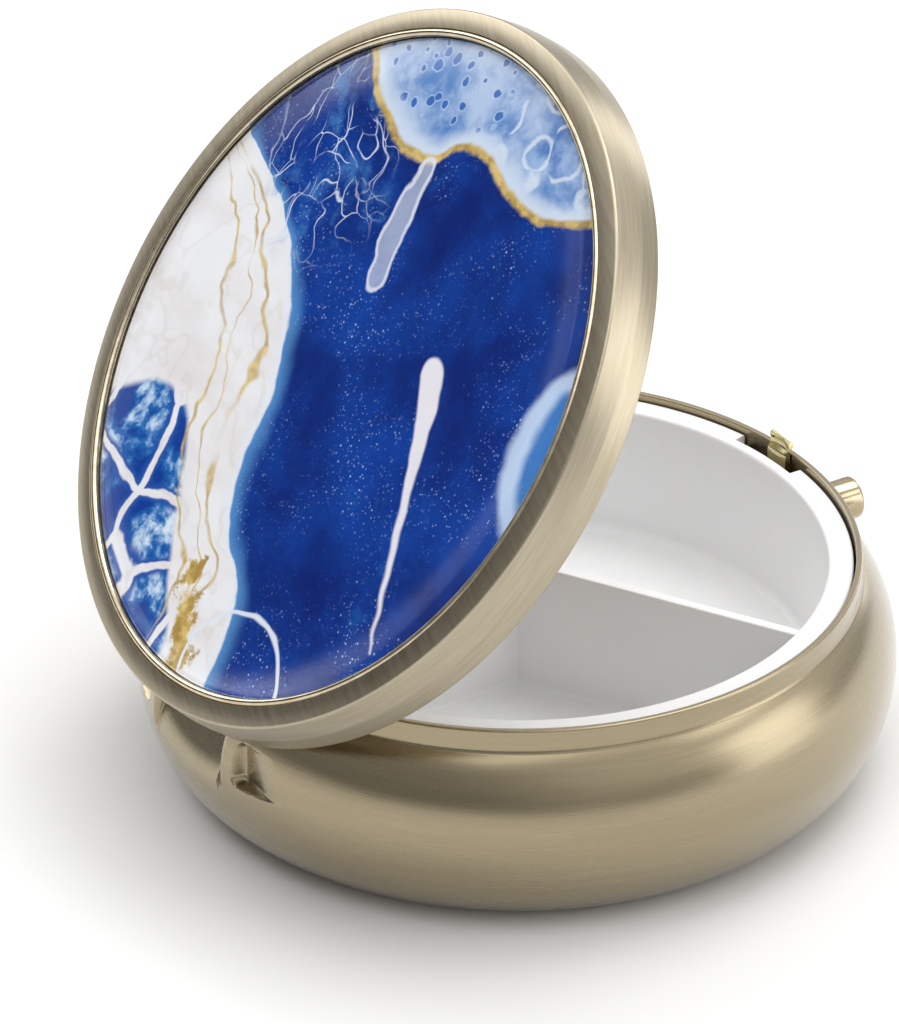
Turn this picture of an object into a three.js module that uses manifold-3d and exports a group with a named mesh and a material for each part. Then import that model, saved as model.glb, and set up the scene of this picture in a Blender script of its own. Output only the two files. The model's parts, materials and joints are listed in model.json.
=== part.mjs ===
// Round metal pill box. A bulged base holds a white plastic tray with three compartments, and a
// hinged lid carries a printed disc under clear glass. A push button in the front of the base
// bends a spring leaf inwards, and the hook on the leaf lets go of the lid's catch.
// Millimetres, +Z up. The origin is the centre of the flat underside. The hinge is towards +Y and
// the push button towards -Y. The box is modelled with its lid part open.
import * as THREE from 'three';
import { mergeVertices } from 'three/addons/utils/BufferGeometryUtils.js';
import Module from 'manifold-3d';

// ---- Driving dimensions ----

// Facets round the turned pieces, and on small rods.
const roundFacets = 64;
const rodFacets = 20;
const smallRodFacets = 12;
const arcSteps = 9;
// Clearance between pieces, and how far a cutting solid reaches past what it cuts.
const gap = 0.1;
const past = 2;

// Base: an elliptical bulge between the foot and a short upright collar.
const footRadius = 19.9;
const bulgeReach = 5.1;
const bulgeRadius = footRadius + bulgeReach;
const bulgeMiddle = 7.0;
const shellWall = 0.8;
const shoulderHeight = 12.9;
const collarRadius = 22.6;
const collarInnerRadius = 22.15;
const rimHeight = 14.5;
const rimChamfer = 0.14;
const plateThickness = 0.7;
const plateRadius = 19.75;
const plateEdge = 0.15;

// Hinge at the back of the base.
const hingeY = 21.94;
const hingeZ = 11.03;
const openAngle = THREE.MathUtils.degToRad(53.26);
const knuckleRadius = 1.35;
const pinRadius = 0.6;
const pinBore = 0.7;
const pinHalfLength = 5.7;
const slotHalfWidth = 4.15;
const slotFloor = 9.2;
const slotTop = 12.6;
// Below the slot its floor runs out through the bulge between these [y, z] points.
const rampHead = [23.0, 9.3];
const rampFoot = [24.95, 6.0];
const cheekHalfWidth = 6.0;
const cheekFront = 20.5;
const cheekBottom = 8.4;
const backingFront = 22.5;
const backingMargin = 0.9;
const pocketNear = 5.6;
const pocketFar = 8.7;
const pocketBottom = 6.9;
const pocketTop = 10.2;
const pocketCorner = 0.7;
const pocketFloorY = 23.3;
const lidKnuckleHalf = 1.95;
const baseKnuckleInner = 2.5;
const baseKnuckleOuter = 4.0;
const hingePlateFront = 20.7;
const hingePlateBack = 22.85;
const hingePlateThickness = 0.2;
const washerThickness = 0.25;
const washerRadius = 1.25;
const lugInner = 23.15;
const lugOuter = 24.0;
const lugTop = 14.3;

// Tray: a flanged cup with three dividers.
const trayTop = 14.05;
const trayFlangeRadius = 22.0;
const trayFlangeThickness = 1.0;
const trayInnerRadius = 20.34;
const trayDraft = 0.3;
const trayFloor = 4.6;
const trayFloorThickness = 0.7;
const trayFoot = 1.4;
const trayWall = 0.5;
const trayFillet = 0.7;
const dividerThickness = 0.75;
const dividerTop = 13.75;
const dividerAngles = [93, 213, 333];
const trayFlatY = 20.2;
const trayFlatWall = 0.65;
const trayFlatHalf = 6.5;
const trayHingeRoomHalf = 7;
const trayEdge = 0.1;

// Lid, measured up from the bottom edge of its skirt when the box is shut.
const lidBottom = 13.0;
const lidRadius = 24.48;
const lidInnerRadius = 22.9;
const lidHeight = 3.73;
const lidShoulder = 0.5;
const bezelDrop = 0.15;
const lidEdge = 0.15;
const lidFloorUnder = 2.7;
const lidFloorTop = 2.9;
const glassSeatRadius = 22.8;
const glassRingInner = 22.33;
const glassRingOuter = 22.72;
const glassRingHeight = 3.85;
const glassRadius = 22.22;
const glassBottom = 3.18;
const glassEdge = 3.6;
const glassCrown = 4.05;
const glassBevel = 0.35;
const printRadius = 22.15;
const printHeights = [3.03, 3.13];
const adhesiveRadius = 21.55;
const adhesiveHeights = [2.93, 3.0];
const mortiseHalf = 2.1;
const mortiseTop = 1.45;

// Push button, its guide and clip.
const buttonZ = 10.9;
const buttonFace = -26.2;
const buttonRadius = 1.46;
const buttonHeadEnd = -23.75;
const buttonStemRadius = 1.0;
const buttonNeckRadius = 0.75;
const buttonTip = -21.88;
const buttonRound = 0.3;
const buttonHoleEnd = -21.9;
const clipNear = -22.2;
const clipFar = -21.98;
const clipRadius = 1.2;
const guideNear = -22.95;
const guideFar = -22.35;
const guideRadius = 1.9;

// Spring latch: a curved leaf held by two rivets, with a bent hook on its top edge.
const leafInner = 21.5;
const leafOuter = 21.78;
const leafBottom = 9.8;
const leafTop = 11.9;
const leafRootAngle = -60;
const leafTipAngle = -91.5;
const latchAngle = -83.2;
const latchHalfWidth = 0.95;
const catchHalfWidth = 0.8;
const trayNotchAngles = [-89.5, -74];
const trayNotchRadius = 21.05;
const rivetAngles = [-61.5, -65.5];
const rivetZ = 10.85;
const rivetRadius = 0.35;
const rivetHeadRadius = 0.6;
const rivetHeadThickness = 0.28;
const rivetEnd = 22.95;
const rivetHoleHalf = 0.45;
const rivetPadOverlap = 3;
const rivetPadGap = 0.15;

// ---- Materials ----

const brushedMetal = new THREE.MeshStandardMaterial({ color: 0xa8987a, roughness: 0.38, metalness: 1 });
const polishedMetal = new THREE.MeshStandardMaterial({ color: 0xc2ab74, roughness: 0.16, metalness: 1 });
const steel = new THREE.MeshStandardMaterial({ color: 0x9b9a96, roughness: 0.3, metalness: 1 });
const whitePlastic = new THREE.MeshStandardMaterial({ color: 0xf2f2f2, roughness: 0.45, metalness: 0 });
const print = new THREE.MeshStandardMaterial({ color: 0x123a86, roughness: 0.6, metalness: 0 });
const adhesive = new THREE.MeshStandardMaterial({ color: 0xd8d3c4, roughness: 0.8, metalness: 0 });
const glass = new THREE.MeshStandardMaterial({
  color: 0xe6f0f8, roughness: 0.05, metalness: 0, transparent: true, opacity: 0.35,
});

// ---- Solids ----

const wasm = await Module();
wasm.setup();

// Turns a closed three.js geometry into a solid that can be cut and joined.
function solidOf(geometry) {
  const bare = geometry.clone();
  bare.deleteAttribute('normal');
  bare.deleteAttribute('uv');
  const merged = mergeVertices(bare);
  const corners = merged.index.array;
  const triangles = [];
  for (let i = 0; i < corners.length; i += 3) {
    const [a, b, c] = [corners[i], corners[i + 1], corners[i + 2]];
    if (a !== b && b !== c && c !== a) {
      triangles.push(a, b, c);
    }
  }
  return new wasm.Manifold(new wasm.Mesh({
    numProp: 3,
    vertProperties: Float32Array.from(merged.attributes.position.array),
    triVerts: Uint32Array.from(triangles),
  }));
}

// Turns a solid back into a geometry.
function geometryOf(solid) {
  const result = solid.getMesh();
  const geometry = new THREE.BufferGeometry();
  geometry.setAttribute('position', new THREE.BufferAttribute(result.vertProperties, 3));
  geometry.setIndex(new THREE.BufferAttribute(result.triVerts, 1));
  geometry.computeVertexNormals();
  return geometry;
}

// A geometry turned about Y from [radius, height] points, anticlockwise, which either start and end
// on the axis or close on themselves.
function turnedGeometry(profile, facets) {
  const points = profile.map(([radius, height]) => new THREE.Vector2(radius, height));
  if (profile[0][0] !== 0) {
    points.push(points[0].clone());
  }
  return new THREE.LatheGeometry(points, facets);
}

// A solid turned about Z.
function turned(profile) {
  return solidOf(turnedGeometry(profile, roundFacets).rotateX(Math.PI / 2));
}

// A solid turned about the button's axis, from [radius, y] points.
function turnedAboutButton(profile) {
  return solidOf(turnedGeometry(profile, rodFacets).translate(0, 0, buttonZ));
}

// A box from one corner to the opposite one.
function block([x0, y0, z0], [x1, y1, z1]) {
  const box = new THREE.BoxGeometry(x1 - x0, y1 - y0, z1 - z0);
  return solidOf(box.translate((x0 + x1) / 2, (y0 + y1) / 2, (z0 + z1) / 2));
}

// A rod on the hinge's axis.
function hingeRod(radius, x0, x1) {
  const rod = new THREE.CylinderGeometry(radius, radius, x1 - x0, rodFacets);
  return solidOf(rod.rotateZ(Math.PI / 2).translate((x0 + x1) / 2, hingeY, hingeZ));
}

// A prism whose outline lies in a plane through the Z axis, as [radius, height] points, and
// which reaches halfWidth to both sides of that plane.
function radialPrism(outline, azimuth, halfWidth) {
  const shape = new THREE.Shape(outline.map(([radius, height]) => new THREE.Vector2(radius, height)));
  const prism = new THREE.ExtrudeGeometry(shape, { depth: 2 * halfWidth, bevelEnabled: false });
  const angle = THREE.MathUtils.degToRad(azimuth);
  const outwards = new THREE.Vector3(Math.cos(angle), Math.sin(angle), 0);
  const up = new THREE.Vector3(0, 0, 1);
  const across = new THREE.Vector3().crossVectors(outwards, up);
  const frame = new THREE.Matrix4().makeBasis(outwards, up, across);
  return solidOf(prism.translate(0, 0, -halfWidth).applyMatrix4(frame));
}

// A wedge about the Z axis between two azimuths less than 90 degrees apart.
function wedge(fromAngle, toAngle, z0, z1) {
  const reach = 60;
  const corner = (degrees) => new THREE.Vector2(
    reach * Math.cos(THREE.MathUtils.degToRad(degrees)),
    reach * Math.sin(THREE.MathUtils.degToRad(degrees)),
  );
  const outline = new THREE.Shape([new THREE.Vector2(0, 0), corner(fromAngle), corner(toAngle)]);
  const prism = new THREE.ExtrudeGeometry(outline, { depth: z1 - z0, bevelEnabled: false });
  return solidOf(prism.translate(0, 0, z0));
}

// Part of a ring with a rectangular section.
function ringPart(inner, outer, z0, z1, fromAngle, toAngle) {
  const ring = turned([[inner, z0], [outer, z0], [outer, z1], [inner, z1]]);
  return ring.intersect(wedge(fromAngle, toAngle, z0 - 1, z1 + 1));
}

// Points on an elliptical arc, in degrees from the +radius direction.
function arc(centre, radii, fromAngle, toAngle, steps = arcSteps) {
  const points = [];
  for (let i = 0; i <= steps; i += 1) {
    const angle = THREE.MathUtils.degToRad(fromAngle + (toAngle - fromAngle) * i / steps);
    points.push([centre[0] + radii[0] * Math.cos(angle), centre[1] + radii[1] * Math.sin(angle)]);
  }
  return points;
}

// ---- Base ----

const shoulderAngle = THREE.MathUtils.radToDeg(
  Math.asin((shoulderHeight - bulgeMiddle) / bulgeMiddle),
);
const innerShoulderAngle = THREE.MathUtils.radToDeg(
  Math.acos((collarInnerRadius - footRadius) / (bulgeReach - shellWall)),
);

function outerArc() {
  return arc([footRadius, bulgeMiddle], [bulgeReach, bulgeMiddle], -90, shoulderAngle, arcSteps + 3);
}

function innerArc(inset, fromAngle, toAngle) {
  const radii = [bulgeReach - inset, bulgeMiddle - inset];
  return arc([footRadius, bulgeMiddle], radii, fromAngle, toAngle);
}

// Everything inside the outer skin of the bulge.
function bulgeBody() {
  return turned([[0, 0], ...outerArc(), [0, shoulderHeight]]);
}

// The hollow inside the bulge, pulled in by the given inset from the outer skin.
function bulgeHollow(inset) {
  return turned([[0, inset], ...innerArc(inset, -90, 90), [0, 2 * bulgeMiddle - inset]]);
}

function roundedRectangle(x0, z0, x1, z1, corner) {
  return [
    ...arc([x1 - corner, z0 + corner], [corner, corner], -90, 0, 3),
    ...arc([x1 - corner, z1 - corner], [corner, corner], 0, 90, 3),
    ...arc([x0 + corner, z1 - corner], [corner, corner], 90, 180, 3),
    ...arc([x0 + corner, z0 + corner], [corner, corner], 180, 270, 3),
  ];
}

// A pocket beside the hinge slot. Its floor is flat, so it runs out where the bulge curves away.
function hingePocket(side) {
  const near = side * pocketNear;
  const far = side * (pocketFar + past);
  const outline = roundedRectangle(
    Math.min(near, far), pocketBottom, Math.max(near, far), pocketTop, pocketCorner,
  );
  const shape = new THREE.Shape(outline.map(([x, z]) => new THREE.Vector2(x, z)));
  const depth = 2 * past;
  const prism = new THREE.ExtrudeGeometry(shape, { depth, bevelEnabled: false });
  return solidOf(prism.rotateX(Math.PI / 2).translate(0, pocketFloorY + depth, 0));
}

// A square hole through the wall or the leaf for a latch rivet.
function rivetHole(azimuth) {
  const outline = [
    [leafInner - past, rivetZ - rivetHoleHalf],
    [rivetEnd + rivetPadGap, rivetZ - rivetHoleHalf],
    [rivetEnd + rivetPadGap, rivetZ + rivetHoleHalf],
    [leafInner - past, rivetZ + rivetHoleHalf],
  ];
  return radialPrism(outline, azimuth, rivetHoleHalf);
}

// A pad inside the front wall that takes the latch rivets.
function rivetPad() {
  const from = Math.min(...rivetAngles) - rivetPadOverlap;
  const to = Math.max(...rivetAngles) + rivetPadOverlap;
  const outer = bulgeRadius;
  const pad = ringPart(leafOuter + rivetPadGap, outer, leafBottom - 2 * gap, leafTop, from, to);
  return pad.intersect(bulgeHollow(shellWall / 2));
}

function baseShell() {
  const skin = bulgeBody();
  const back = bulgeRadius + past;
  // Thick cheeks carry the hinge pin, and backing closes the two pockets from inside.
  const cheekTop = slotTop + gap;
  const cheeks = block([-cheekHalfWidth, cheekFront, cheekBottom], [cheekHalfWidth, back, cheekTop]);
  const backingHalf = pocketFar + backingMargin;
  const backing = block(
    [-backingHalf, backingFront, pocketBottom - 2 * backingMargin],
    [backingHalf, back, pocketTop + backingMargin],
  );
  let shell = turned([
    ...outerArc(),
    [collarRadius, shoulderHeight],
    [collarRadius, rimHeight - rimChamfer],
    [collarRadius - rimChamfer, rimHeight],
    [collarInnerRadius, rimHeight],
    ...innerArc(shellWall, innerShoulderAngle, -90),
  ]);
  shell = shell.add(cheeks.intersect(skin)).add(backing.intersect(skin)).add(rivetPad());
  const slot = block(
    [-slotHalfWidth, cheekFront - past, slotFloor],
    [slotHalfWidth, back, slotTop],
  );
  const rampOutline = [rampFoot, [back, rampFoot[1]], [back, rampHead[1]], rampHead];
  const ramp = radialPrism(rampOutline, 90, slotHalfWidth);
  const bore = hingeRod(pinBore, -cheekHalfWidth - past, cheekHalfWidth + past);
  const buttonHole = turnedAboutButton([
    [0, buttonFace - past],
    [buttonRadius + gap, buttonFace - past],
    [buttonRadius + gap, buttonHoleEnd],
    [0, buttonHoleEnd],
  ]);
  const pockets = [hingePocket(-1), hingePocket(1)];
  const cuts = [slot, ramp, bore, buttonHole, ...pockets, ...rivetAngles.map(rivetHole)];
  for (const cut of cuts) {
    shell = shell.subtract(cut);
  }
  return shell;
}

function bottomPlate() {
  return turned([
    [0, 0],
    [plateRadius - plateEdge, 0],
    [plateRadius, plateEdge],
    [plateRadius, plateThickness],
    [0, plateThickness],
  ]);
}

// ---- Hinge ----

function baseHingeLeaf() {
  const plateBottom = slotFloor + gap;
  let leaf = block(
    [-baseKnuckleOuter, hingePlateFront, plateBottom],
    [baseKnuckleOuter, hingePlateBack, plateBottom + hingePlateThickness],
  );
  for (const side of [-1, 1]) {
    const x0 = Math.min(side * baseKnuckleInner, side * baseKnuckleOuter);
    const x1 = Math.max(side * baseKnuckleInner, side * baseKnuckleOuter);
    const foot = block([x0, hingeY - 0.9 * knuckleRadius, plateBottom], [x1, hingePlateBack, hingeZ]);
    leaf = leaf.add(hingeRod(knuckleRadius, x0, x1)).add(foot);
  }
  return leaf.subtract(hingeRod(pinBore, -cheekHalfWidth, cheekHalfWidth));
}

function hingePin() {
  return hingeRod(pinRadius, -pinHalfLength, pinHalfLength);
}

function hingeWasher(side) {
  const middle = side * (lidKnuckleHalf + baseKnuckleInner) / 2;
  const x0 = middle - washerThickness / 2;
  const x1 = middle + washerThickness / 2;
  return hingeRod(washerRadius, x0, x1).subtract(hingeRod(pinBore, x0 - past, x1 + past));
}

// ---- Tray ----

function trayCup() {
  const flangeBottom = trayTop - trayFlangeThickness;
  const innerFoot = trayInnerRadius - trayDraft;
  const skirtInner = innerFoot - 2 * trayEdge;
  return turned([
    [0, trayFloor - trayFloorThickness],
    [skirtInner, trayFloor - trayFloorThickness],
    [skirtInner, trayFoot],
    [innerFoot + trayWall, trayFoot],
    [trayInnerRadius + trayWall, flangeBottom],
    [trayFlangeRadius, flangeBottom],
    [trayFlangeRadius, trayTop - trayEdge],
    [trayFlangeRadius - trayEdge, trayTop],
    [trayInnerRadius + trayEdge, trayTop],
    [trayInnerRadius, trayTop - trayEdge],
    ...arc([innerFoot - trayFillet, trayFloor + trayFillet], [trayFillet, trayFillet], 0, -90, 4),
    [0, trayFloor],
  ]);
}

function trayDivider(azimuth) {
  const foot = trayFloor - 2 * trayEdge;
  const reach = trayInnerRadius - trayEdge;
  const outline = [[0, foot], [reach, foot], [reach, dividerTop], [0, dividerTop]];
  return radialPrism(outline, azimuth, dividerThickness / 2);
}

function pillTray() {
  const flangeBottom = trayTop - trayFlangeThickness;
  const within = trayInnerRadius - trayEdge;
  const outside = trayFlangeRadius + past;
  let tray = trayCup();
  for (const azimuth of dividerAngles) {
    tray = tray.add(trayDivider(azimuth));
  }
  // A flat in the back wall clears the hinge.
  const flat = block(
    [-trayFlatHalf, trayFlatY - trayFlatWall, trayFoot],
    [trayFlatHalf, trayFlatY, flangeBottom + 2 * trayEdge],
  );
  const cup = turned([[0, trayFoot], [within, trayFoot], [within, trayTop], [0, trayTop]]);
  const hingeRoom = block(
    [-trayHingeRoomHalf, trayFlatY, 0],
    [trayHingeRoomHalf, outside, flangeBottom - trayEdge / 2],
  );
  // A notch in the flange for the latch.
  const [from, to] = trayNotchAngles;
  const latchRoom = ringPart(trayNotchRadius, outside, leafBottom, trayTop + past, from, to);
  return tray.add(flat.intersect(cup)).subtract(hingeRoom).subtract(latchRoom);
}

// ---- Button and latch ----

function pushButton() {
  const shoulder = clipNear - gap / 2;
  const roundCentre = [buttonRadius - buttonRound, buttonFace + buttonRound];
  return turnedAboutButton([
    [0, buttonFace],
    [buttonRadius - buttonRound, buttonFace],
    ...arc(roundCentre, [buttonRound, buttonRound], -60, 0, 3),
    [buttonRadius, buttonHeadEnd],
    [buttonStemRadius, buttonHeadEnd],
    [buttonStemRadius, shoulder],
    [buttonNeckRadius, shoulder],
    [buttonNeckRadius, buttonTip],
    [0, buttonTip],
  ]);
}

function buttonGuide() {
  const sleeve = turnedAboutButton([
    [buttonStemRadius + gap, guideNear],
    [guideRadius, guideNear],
    [guideRadius, guideFar],
    [buttonStemRadius + gap, guideFar],
  ]);
  return sleeve.intersect(bulgeHollow(shellWall + gap));
}

function buttonClip() {
  const bore = buttonNeckRadius + gap / 2;
  return turnedAboutButton([
    [bore, clipNear],
    [clipRadius, clipNear],
    [clipRadius, clipFar],
    [bore, clipFar],
  ]);
}

function latchLeaf() {
  let leaf = ringPart(leafInner, leafOuter, leafBottom, leafTop, leafTipAngle, leafRootAngle);
  for (const azimuth of rivetAngles) {
    leaf = leaf.subtract(rivetHole(azimuth));
  }
  return leaf;
}

// A bent strip: a foot lapped on the leaf, an upright stem, and a dished head that leans out over
// the rim. The catch sits between the rim and the head.
function latchHook() {
  return radialPrism([
    [21.86, 10.6],
    [22.05, 10.6],
    [22.05, 14.8],
    [22.33, 15.03],
    [22.35, 15.2],
    [22.08, 15.5],
    [21.9, 15.55],
    [21.8, 15.35],
    [21.98, 15.05],
    [21.93, 14.75],
    [21.74, 14.5],
    [21.62, 14.2],
    [21.62, 12.18],
    [21.86, 11.98],
  ], latchAngle, latchHalfWidth);
}

function latchRivet(azimuth) {
  const headOuter = leafInner - gap;
  const headInner = headOuter - rivetHeadThickness;
  const rivet = turnedGeometry([
    [0, headInner],
    [0.6 * rivetHeadRadius, headInner],
    [rivetHeadRadius, headOuter - gap],
    [rivetHeadRadius, headOuter],
    [rivetRadius, headOuter],
    [rivetRadius, rivetEnd],
    [0, rivetEnd],
  ], smallRodFacets);
  const turn = THREE.MathUtils.degToRad(azimuth - 90);
  return solidOf(rivet.rotateZ(turn).translate(0, 0, rivetZ));
}

// ---- Lid, in its shut position ----

function lidShell() {
  const under = lidBottom + lidFloorUnder;
  const seat = lidBottom + lidFloorTop;
  const crown = lidBottom + lidHeight;
  const shoulder = [lidRadius - lidShoulder, crown - bezelDrop - lidShoulder];
  const shell = turned([
    [0, under],
    [lidInnerRadius - 2 * lidEdge, under],
    [lidInnerRadius, under - 2 * lidEdge],
    [lidInnerRadius, lidBottom + lidEdge],
    [lidInnerRadius + lidEdge, lidBottom],
    [lidRadius - lidEdge, lidBottom],
    [lidRadius, lidBottom + lidEdge],
    ...arc(shoulder, [lidShoulder, lidShoulder], 0, 90, 4),
    [glassSeatRadius, crown],
    [glassSeatRadius, seat],
    [0, seat],
  ]);
  // A mortise in the skirt takes the lid's hinge leaf.
  return shell.subtract(block(
    [-mortiseHalf, lidInnerRadius + gap, lidBottom - past],
    [mortiseHalf, lugOuter + lidEdge, lidBottom + mortiseTop],
  ));
}

function lidHingeLeaf() {
  const lug = radialPrism([
    [22.5, 11.75],
    [23.2, 11.0],
    [lugOuter, 12.5],
    [lugOuter, lugTop],
    [lugInner, lugTop],
    [lugInner, 12.35],
  ], 90, lidKnuckleHalf);
  const barrel = hingeRod(knuckleRadius, -lidKnuckleHalf, lidKnuckleHalf);
  return barrel.add(lug).subtract(hingeRod(pinBore, -cheekHalfWidth, cheekHalfWidth));
}

// An L-shaped tab inside the skirt that reaches in under the hook's head, just above the rim.
function lidCatch() {
  return radialPrism([
    [22.15, 14.58],
    [22.78, 14.58],
    [22.78, 15.5],
    [22.5, 15.5],
    [22.5, 14.78],
    [22.15, 14.78],
  ], latchAngle, catchHalfWidth);
}

function disc(radius, [z0, z1]) {
  return turned([
    [0, lidBottom + z0],
    [radius, lidBottom + z0],
    [radius, lidBottom + z1],
    [0, lidBottom + z1],
  ]);
}

function glassDome() {
  const bottom = lidBottom + glassBottom;
  const edge = lidBottom + glassEdge;
  const crown = lidBottom + glassCrown;
  const cap = [];
  const steps = 6;
  for (let i = 0; i <= steps; i += 1) {
    const share = 1 - i / steps;
    cap.push([(glassRadius - glassBevel) * share, crown - (crown - edge) * share ** 4]);
  }
  return turned([[0, bottom], [glassRadius, bottom], [glassRadius, edge - glassBevel], ...cap]);
}

function glassRing() {
  const bottom = lidBottom + lidFloorTop + gap / 2;
  const half = (glassRingOuter - glassRingInner) / 2;
  const top = lidBottom + glassRingHeight - half;
  return turned([
    [glassRingInner, bottom],
    [glassRingOuter, bottom],
    ...arc([glassRingInner + half, top], [half, half], 0, 180, 6),
  ]);
}

// ---- Assembly ----

function piece(name, solid, material) {
  const mesh = new THREE.Mesh(geometryOf(solid), material);
  mesh.name = name;
  return mesh;
}

const base = new THREE.Group();
base.add(
  piece('base_shell', baseShell(), brushedMetal),
  piece('bottom_plate', bottomPlate(), brushedMetal),
  piece('base_hinge_leaf', baseHingeLeaf(), brushedMetal),
  piece('hinge_pin', hingePin(), steel),
  piece('hinge_washer_left', hingeWasher(-1), steel),
  piece('hinge_washer_right', hingeWasher(1), steel),
  piece('pill_tray', pillTray(), whitePlastic),
  piece('button_guide', buttonGuide(), brushedMetal),
);
rivetAngles.forEach((azimuth, index) => {
  base.add(piece(`latch_rivet_${index + 1}`, latchRivet(azimuth), steel));
});

const button = new THREE.Group();
button.add(
  piece('push_button', pushButton(), polishedMetal),
  piece('button_clip', buttonClip(), steel),
);

const latch = new THREE.Group();
latch.add(
  piece('latch_leaf', latchLeaf(), steel),
  piece('latch_hook', latchHook(), polishedMetal),
);

// The lid's pieces are made shut, hung from the hinge axis, and the whole group swings open.
const lid = new THREE.Group();
lid.position.set(0, hingeY, hingeZ);
lid.rotation.x = -openAngle;
const lidPieces = [
  piece('lid_shell', lidShell(), brushedMetal),
  piece('lid_hinge_leaf', lidHingeLeaf(), brushedMetal),
  piece('lid_catch', lidCatch(), polishedMetal),
  piece('adhesive_disc', disc(adhesiveRadius, adhesiveHeights), adhesive),
  piece('printed_disc', disc(printRadius, printHeights), print),
  piece('glass_dome', glassDome(), glass),
  piece('glass_ring', glassRing(), polishedMetal),
];
for (const lidPiece of lidPieces) {
  lidPiece.position.set(0, -hingeY, -hingeZ);
  lid.add(lidPiece);
}

const pillBox = new THREE.Group();
pillBox.add(base, button, latch, lid);
export default pillBox;
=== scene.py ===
"""Looks of the round metal pill box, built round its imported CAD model.

Sizes here are millimetres in the box's own frame: +Z up, the hinge towards +Y, the push button
towards -Y. mesh_piece() turns them into metres. The lid's pieces are made with the lid shut and
then swung open about the hinge.
"""

import json
from math import acos, asin, cos, degrees, pi, radians, sin, sqrt, tan

import bmesh
import bpy
import numpy as np
from mathutils import Matrix, Vector


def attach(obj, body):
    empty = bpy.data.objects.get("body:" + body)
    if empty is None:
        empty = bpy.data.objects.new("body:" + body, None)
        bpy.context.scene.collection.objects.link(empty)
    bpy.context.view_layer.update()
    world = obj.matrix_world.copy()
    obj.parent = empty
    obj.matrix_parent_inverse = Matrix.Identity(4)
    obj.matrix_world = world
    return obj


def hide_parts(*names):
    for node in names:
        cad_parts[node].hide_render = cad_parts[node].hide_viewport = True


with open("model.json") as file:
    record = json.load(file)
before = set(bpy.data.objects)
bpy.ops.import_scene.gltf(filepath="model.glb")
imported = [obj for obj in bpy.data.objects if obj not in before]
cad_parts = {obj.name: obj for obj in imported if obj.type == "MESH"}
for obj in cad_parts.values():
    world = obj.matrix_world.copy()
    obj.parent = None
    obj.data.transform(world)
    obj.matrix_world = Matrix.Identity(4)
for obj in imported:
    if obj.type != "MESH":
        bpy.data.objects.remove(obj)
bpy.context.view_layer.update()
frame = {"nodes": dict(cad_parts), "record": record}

MM = 0.001

# ---- Sizes, in mm ----

# Base: an elliptical bulge, a short upright collar and a rolled rim.
FOOT_RADIUS = 19.9
BULGE_REACH = 5.1
BULGE_MIDDLE = 7.0
WALL = 0.8
SHOULDER_HEIGHT = 12.9
COLLAR_RADIUS = 22.6
COLLAR_INNER = 22.15
RIM_HEIGHT = 14.5
PLATE_THICKNESS = 0.7

# The hinge slot and the two pockets beside it.
SLOT_HALF = 4.15
SLOT_BACK_Y = 20.5
SLOT_FLOOR = 9.2
SLOT_TOP = 12.6
RAMP_FOOT = (24.95, 6.0)
RAMP_HEAD = (23.0, 9.3)
CHEEK_ROUND = 0.6
CHEEK_LEAN = 0.02
SLOT_CORNER = 0.2
RAMP_BLEND = 0.8
POCKET_NEAR = 5.55
POCKET_FAR = 10.7
POCKET_BOTTOM = 6.9
POCKET_TOP = 10.2
POCKET_CORNER = 0.7
POCKET_WALL = 0.4
POCKET_FLOOR_Y = 23.3
HINGE_Y = 21.94
HINGE_Z = 11.03
KNUCKLE_RADIUS = 1.35
PIN_BORE = 0.7
LID_KNUCKLE_HALF = 1.95
BASE_KNUCKLE = (2.5, 4.0)
KNUCKLE_GAP = 0.04

# Tray.
TRAY_TOP = 14.05
TRAY_RADIUS = 22.0
TRAY_FLANGE = 1.0
TRAY_INNER = 20.34
TRAY_DRAFT = 0.3
TRAY_FLOOR = 4.6
TRAY_UNDER = 3.9
TRAY_FOOT = 1.4
TRAY_WALL = 0.5
DIVIDER_HALF = 0.375
DIVIDER_TOP = 13.75
DIVIDER_ANGLES = (93, 213, 333)
FLAT_Y = 20.2
FLAT_WALL = 0.65
FLAT_HALF = 6.5
FLAT_CHAMFER = 1.4
HINGE_ROOM_HALF = 7
NOTCH_ANGLES = (-89.5, -74)
NOTCH_RADIUS = 21.05
NOTCH_FLOOR = 9.8
CUT_REACH = 24

# Lid, shut.
LID_BOTTOM = 13.0
LID_RADIUS = 24.48
LID_INNER = 22.9
LID_TOP = 16.73
LID_UNDER = 15.7
LID_FLOOR = 15.9
BEZEL_DROP = 0.15
LID_EDGE_RADIUS = 24.2
SEAT_RADIUS = 22.8
BEAD_RADII = (22.27, 22.78)
BEAD_TOP = 16.79
GLASS_RADIUS = 22.24
GLASS_BOTTOM = 16.18
GLASS_CROWN = 17.05
PRINT_RADIUS = 22.2
PRINT_HEIGHTS = (16.03, 16.13)

# Button and latch.
BUTTON_Z = 10.9
BUTTON_FACE = -26.2
BUTTON_RADIUS = 1.46
BUTTON_HEAD_END = -23.75
STEM_RADIUS = 1.0
STEM_END = -22.25
NECK_RADIUS = 0.75
BUTTON_TIP = -21.88
LATCH_ANGLE = -83.2
HOOK_HALF = 0.95
CATCH_HALF = 0.8

# Floor.
FLOOR_HALF = 6000
FLOOR_DROP = 0.02

# Camera: lens in millimetres, place in metres, and the direction from the box back to it.
CAMERA_LENS = 259.34
CAMERA_PLACE = (-0.359113, 0.208317, 0.260888)
CAMERA_BACK = (-0.750617, 0.424726, 0.506201)


def open_matrix():
    """Swings a piece made shut about the hinge to where the lid is at rest."""
    joint = next(j for j in frame["record"]["behaviour"]["joints"] if j["name"] == "lid_hinge")
    angle = radians(joint["range_deg"][0])
    hinge = Vector(joint["pos_m"])
    return Matrix.Translation(hinge) @ Matrix.Rotation(angle, 4, "X") @ Matrix.Translation(-hinge)


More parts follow.
